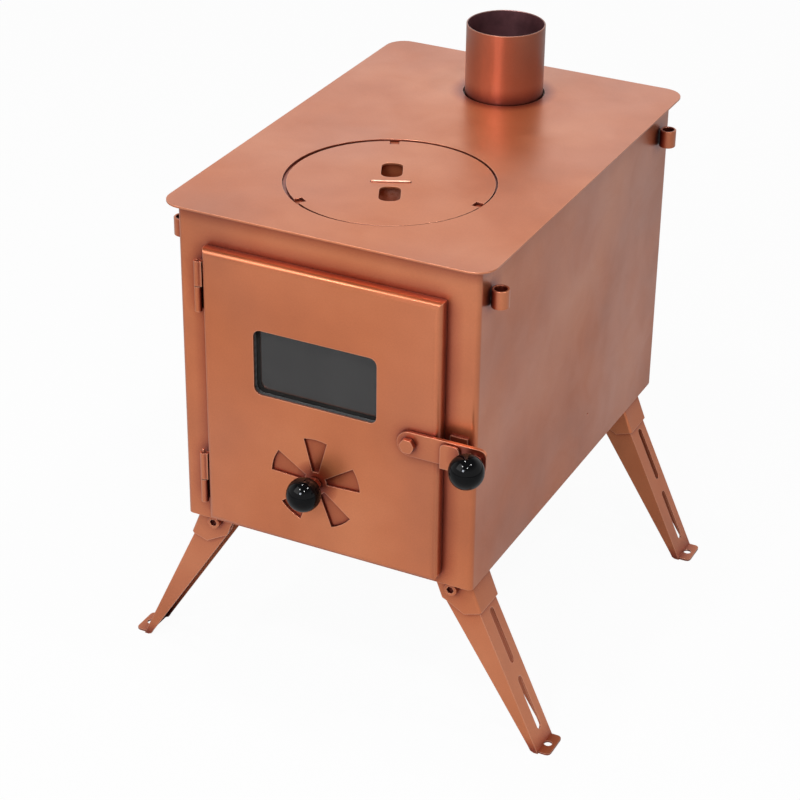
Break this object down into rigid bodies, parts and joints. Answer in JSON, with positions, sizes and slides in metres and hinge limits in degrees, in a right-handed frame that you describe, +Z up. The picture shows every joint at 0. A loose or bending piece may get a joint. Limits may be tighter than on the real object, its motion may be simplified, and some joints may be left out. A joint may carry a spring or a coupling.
{
  "type": "tent wood stove",
  "caption": "Portable folded-steel wood stove with folding legs, a hinged door with window and rotating air vent, a round cooking lid and a flue spigot.",
  "frame": {"origin": "on the ground under the middle of the whole stove, with the door knob and the feet counted", "axes": "+Z up, -Y towards the side with the door, +X to the right when facing the door"},
  "size_m": [0.351, 0.3964, 0.4385],
  "materials": {
    "copper_paint": "satin heat-resistant metallic copper paint",
    "dark_steel": "bare mild steel darkened by heat",
    "zinc": "bright zinc-plated steel",
    "phenolic": "polished black phenolic",
    "ceramic_glass": "clear glass ceramic, dark because the firebox behind it is dark",
    "fibre": "black woven glass-fibre rope and tape"
  },
  "bodies": {
    "firebox": {"body_shell": "copper_paint", "back_panel": "copper_paint", "base_plate": "dark_steel", "top_plate": "copper_paint", "flue_spigot": "copper_paint", "lid_seat_ring": "copper_paint", "socket_front_left": "copper_paint", "socket_rear_left": "copper_paint", "socket_front_right": "copper_paint", "socket_rear_right": "copper_paint", "leg_bracket_front_left": "copper_paint", "leg_bolt_front_left": "copper_paint", "leg_nut_front_left": "zinc", "leg_bracket_rear_left": "copper_paint", "leg_bolt_rear_left": "copper_paint", "leg_nut_rear_left": "zinc", "leg_bracket_front_right": "copper_paint", "leg_bolt_front_right": "copper_paint", "leg_nut_front_right": "zinc", "leg_bracket_rear_right": "copper_paint", "leg_bolt_rear_right": "copper_paint", "leg_nut_rear_right": "zinc", "latch_keeper": "copper_paint", "hinge_body_knuckle_upper": "copper_paint", "hinge_pin_upper": "copper_paint", "hinge_body_knuckle_lower": "copper_paint", "hinge_pin_lower": "copper_paint", "fire_grate": "dark_steel", "baffle_plate": "dark_steel"},
    "lid": {"cooking_lid": "copper_paint", "lid_cup": "copper_paint", "lid_lifting_bar": "copper_paint"},
    "door": {"door_pan": "copper_paint", "glass_gasket": "fibre", "window_glass": "ceramic_glass", "glass_retainer": "dark_steel", "glass_nut_1": "zinc", "glass_nut_2": "zinc", "glass_nut_3": "zinc", "glass_nut_4": "zinc", "door_seal": "fibre", "latch_pivot_bolt": "copper_paint", "latch_pivot_nut": "zinc", "hinge_door_knuckle_upper": "copper_paint", "hinge_door_knuckle_lower": "copper_paint"},
    "latch": {"latch_arm": "copper_paint", "latch_stud": "zinc", "latch_knob": "phenolic", "latch_nut": "copper_paint"},
    "vent": {"vent_disc": "copper_paint", "vent_stem": "zinc", "vent_knob": "phenolic", "vent_outer_nut": "copper_paint", "vent_inner_nut": "zinc"},
    "front_left_leg": {"leg_front_left": "copper_paint"},
    "rear_left_leg": {"leg_rear_left": "copper_paint"},
    "front_right_leg": {"leg_front_right": "copper_paint"},
    "rear_right_leg": {"leg_rear_right": "copper_paint"}
  },
  "joints": [
    {"name": "door_hinge", "type": "hinge", "parent": "firebox", "child": "door", "pos_m": [-0.0966, -0.16325, 0.2475], "axis": [0, 0, -1], "range_deg": [0, 150]},
    {"name": "latch_pivot", "type": "hinge", "parent": "door", "child": "latch", "pos_m": [0.0715, -0.16905, 0.2466], "axis": [0, -1, 0], "range_deg": [0, 75]},
    {"name": "vent_spin", "type": "hinge", "parent": "door", "child": "vent", "pos_m": [-0.0028, -0.16725, 0.1932], "axis": [0, -1, 0], "range_deg": [0, 36]},
    {"name": "lid_lift", "type": "slide", "parent": "firebox", "child": "lid", "axis": [0, 0, 1], "range_m": [0, 0.06]},
    {"name": "front_left_leg_fold", "type": "hinge", "parent": "firebox", "child": "front_left_leg", "pos_m": [-0.097, -0.1323, 0.125], "axis": [0, -1, 0], "range_deg": [0, 120]},
    {"name": "rear_left_leg_fold", "type": "hinge", "parent": "firebox", "child": "rear_left_leg", "pos_m": [-0.097, 0.1582, 0.125], "axis": [0, -1, 0], "range_deg": [0, 120]},
    {"name": "front_right_leg_fold", "type": "hinge", "parent": "firebox", "child": "front_right_leg", "pos_m": [0.097, -0.1323, 0.125], "axis": [0, 1, 0], "range_deg": [0, 90]},
    {"name": "rear_right_leg_fold", "type": "hinge", "parent": "firebox", "child": "rear_right_leg", "pos_m": [0.097, 0.1582, 0.125], "axis": [0, 1, 0], "range_deg": [0, 90]}
  ]
}
